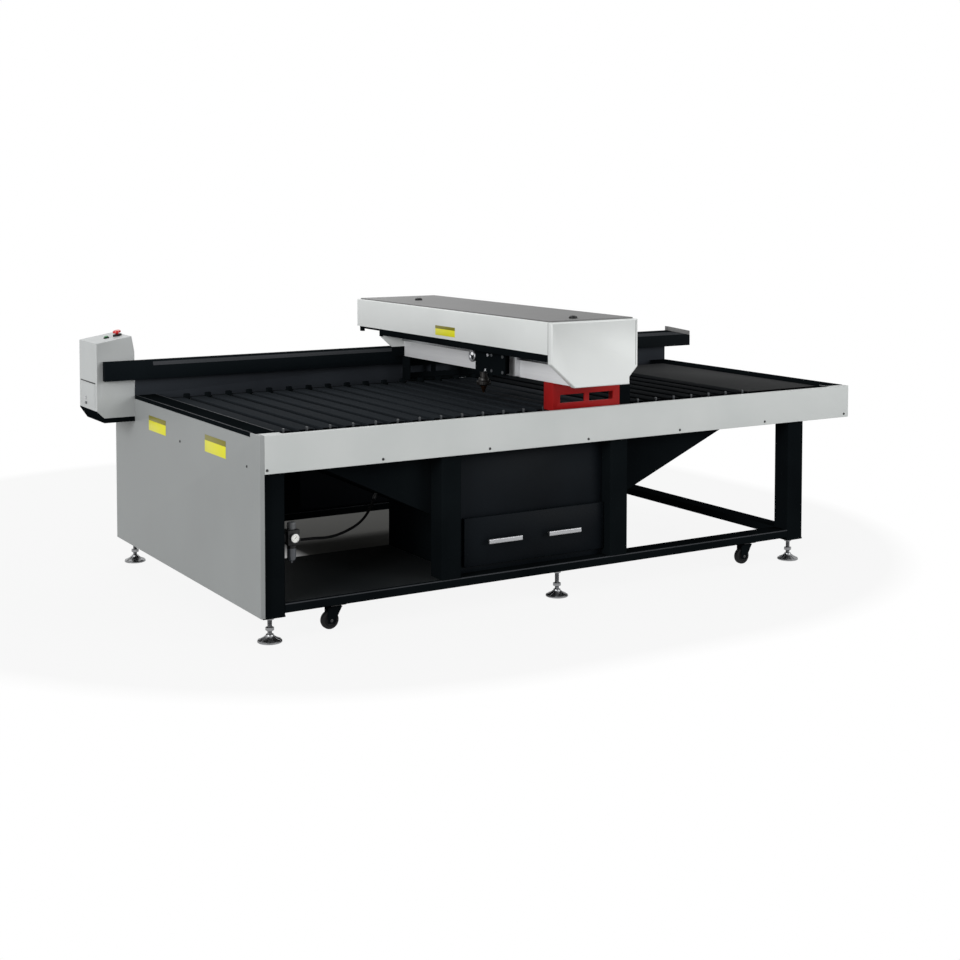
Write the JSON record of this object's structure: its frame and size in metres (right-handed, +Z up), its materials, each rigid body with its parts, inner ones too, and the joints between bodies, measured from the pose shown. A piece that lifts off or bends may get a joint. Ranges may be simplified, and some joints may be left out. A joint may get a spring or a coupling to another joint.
{
  "type": "flatbed laser cutting machine",
  "caption": "Large flatbed laser cutter with a slat table on a square-tube frame, a gantry that carries the laser tube and cutting head, a scrap hopper and a drawer",
  "frame": {"origin": "on the floor under the middle of the machine's outermost faces", "axes": "+X along the bed to the right as the operator stands at the front fascia, +Y to the back, +Z up"},
  "size_m": [3.658, 1.955, 1.315],
  "materials": {
    "light_powder_coat": "satin powder coat",
    "mid_grey_powder_coat": "satin powder coat",
    "black_powder_coat": "fine-textured powder coat",
    "red_powder_coat": "satin powder coat",
    "slat_steel": "dark oxidised sheet",
    "machined_aluminium": "milled and anodised",
    "steel": "ground",
    "zinc_steel": "black-plated pressing",
    "castor_rubber": "moulded",
    "belt_rubber": "smooth",
    "black_plastic": "moulded",
    "red_plastic": "gloss",
    "green_plastic": "gloss",
    "bowl_plastic": "smoked",
    "tube_glass": "clear"
  },
  "bodies": {
    "frame": {"posts": "black_powder_coat", "upper_frame": "black_powder_coat", "lower_frame": "black_powder_coat", "left_end_panel": "light_powder_coat", "front_fascia": "light_powder_coat", "side_fascias": "light_powder_coat", "edge_strips": "black_powder_coat", "back_wall": "black_powder_coat", "cable_duct": "black_powder_coat", "duct_end_lid": "mid_grey_powder_coat", "slats": "slat_steel", "slat_supports": "black_powder_coat", "x_rails": "steel", "x_belts": "belt_rubber", "hopper": "black_powder_coat", "bay_floor": "black_powder_coat", "cabinet_box": "black_powder_coat", "cabinet_panels": "black_powder_coat", "drawer_runners": "black_powder_coat", "foot_pads": "steel", "foot_stems": "steel", "castor_plates": "black_powder_coat", "control_box": "light_powder_coat", "control_box_base": "black_powder_coat", "switch_collars": "black_plastic", "air_regulator": "machined_aluminium", "regulator_bowl": "bowl_plastic", "hose_fittings": "steel", "air_hose": "belt_rubber", "panel_screws": "steel"},
    "gantry": {"gantry_beam": "machined_aluminium", "gantry_cover": "light_powder_coat", "gantry_lid": "mid_grey_powder_coat", "lid_knobs": "black_plastic", "end_caps": "light_powder_coat", "cover_skirt": "black_powder_coat", "gantry_brackets": "red_powder_coat", "x_blocks": "steel", "x_drive_units": "black_powder_coat", "y_rail": "steel", "laser_tube": "tube_glass", "tube_clamps": "machined_aluminium"},
    "head": {"head_carriage": "machined_aluminium", "head_block": "black_powder_coat", "head_mirror": "steel"},
    "lens": {"lens_tube": "machined_aluminium"},
    "drawer": {"drawer_tray": "black_powder_coat", "drawer_front": "black_powder_coat", "drawer_handles": "machined_aluminium"},
    "estop": {"estop_button": "red_plastic"},
    "start": {"start_button": "green_plastic"},
    "pressure_knob": {"regulator_knob": "black_plastic"},
    "fork_front_left": {"castor_fork_front_left": "zinc_steel"},
    "wheel_front_left": {"castor_wheel_front_left": "castor_rubber"},
    "fork_front_right": {"castor_fork_front_right": "zinc_steel"},
    "wheel_front_right": {"castor_wheel_front_right": "castor_rubber"},
    "fork_back_left": {"castor_fork_back_left": "zinc_steel"},
    "wheel_back_left": {"castor_wheel_back_left": "castor_rubber"},
    "fork_back_right": {"castor_fork_back_right": "zinc_steel"},
    "wheel_back_right": {"castor_wheel_back_right": "castor_rubber"}
  },
  "joints": [
    {"name": "gantry_travel", "type": "slide", "parent": "frame", "child": "gantry", "axis": [1, 0, 0], "range_m": [-1.25, 1.25]},
    {"name": "head_travel", "type": "slide", "parent": "gantry", "child": "head", "axis": [0, 1, 0], "range_m": [-0.4, 0.77]},
    {"name": "focus_slide", "type": "slide", "parent": "head", "child": "lens", "axis": [0, 0, 1], "range_m": [-0.02, 0.03]},
    {"name": "drawer_slide", "type": "slide", "parent": "frame", "child": "drawer", "axis": [0, -1, 0], "range_m": [0, 0.24]},
    {"name": "estop_press", "type": "slide", "parent": "frame", "child": "estop", "axis": [0.1694, 0, -0.9855], "range_m": [0, 0.006], "stiffness_N_per_m": 900, "springref_m": -0.006},
    {"name": "start_press", "type": "slide", "parent": "frame", "child": "start", "axis": [0.1694, 0, -0.9855], "range_m": [0, 0.003], "stiffness_N_per_m": 600, "springref_m": -0.003},
    {"name": "knob_turn", "type": "hinge", "parent": "frame", "child": "pressure_knob", "pos_m": [-1.4655, -0.7675, 0.48], "axis": [0, 0, 1], "range_deg": [-270, 270]},
    {"name": "swivel_front_left", "type": "hinge", "parent": "frame", "child": "fork_front_left", "pos_m": [-1.262, -0.7675, 0.115], "axis": [0, 0, 1], "continuous": true},
    {"name": "roll_front_left", "type": "hinge", "parent": "fork_front_left", "child": "wheel_front_left", "pos_m": [-1.29, -0.7675, 0.055], "axis": [0, 1, 0], "continuous": true},
    {"name": "swivel_front_right", "type": "hinge", "parent": "frame", "child": "fork_front_right", "pos_m": [1.037, -0.7675, 0.115], "axis": [0, 0, 1], "continuous": true},
    {"name": "roll_front_right", "type": "hinge", "parent": "fork_front_right", "child": "wheel_front_right", "pos_m": [1.009, -0.7675, 0.055], "axis": [0, 1, 0], "continuous": true},
    {"name": "swivel_back_left", "type": "hinge", "parent": "frame", "child": "fork_back_left", "pos_m": [-1.262, 0.9075, 0.115], "axis": [0, 0, 1], "continuous": true},
    {"name": "roll_back_left", "type": "hinge", "parent": "fork_back_left", "child": "wheel_back_left", "pos_m": [-1.29, 0.9075, 0.055], "axis": [0, 1, 0], "continuous": true},
    {"name": "swivel_back_right", "type": "hinge", "parent": "frame", "child": "fork_back_right", "pos_m": [1.037, 0.9075, 0.115], "axis": [0, 0, 1], "continuous": true},
    {"name": "roll_back_right", "type": "hinge", "parent": "fork_back_right", "child": "wheel_back_right", "pos_m": [1.009, 0.9075, 0.055], "axis": [0, 1, 0], "continuous": true}
  ]
}
